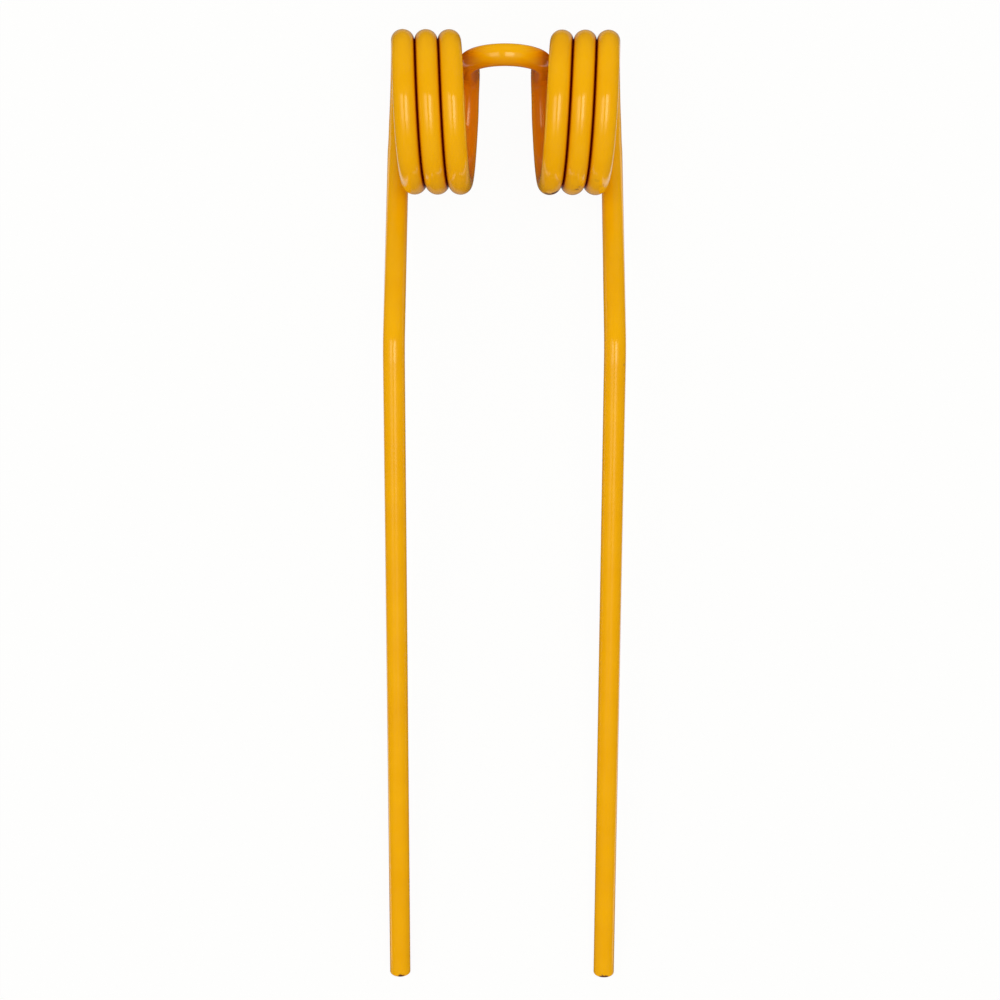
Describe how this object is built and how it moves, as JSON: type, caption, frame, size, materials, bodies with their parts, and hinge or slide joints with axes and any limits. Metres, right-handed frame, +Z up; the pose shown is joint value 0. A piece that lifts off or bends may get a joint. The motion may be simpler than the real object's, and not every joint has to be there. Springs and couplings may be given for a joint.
{
  "type": "tedder tine",
  "caption": "Double spring tine for a rotary tedder, bent from one round wire: a leg, a close-wound coil, a mounting loop, a second coil and a second leg.",
  "frame": {"origin": "middle of the tine's outline, on the surface that it lies on", "axes": "+X along the axis of the coils, +Y from the leg ends to the coils, +Z up from the surface that the tine lies on"},
  "size_m": [0.105, 0.4318, 0.0705],
  "materials": {
    "paint": "gloss"
  },
  "bodies": {
    "root": {"tine_wire": "paint"}
  },
  "joints": []
}
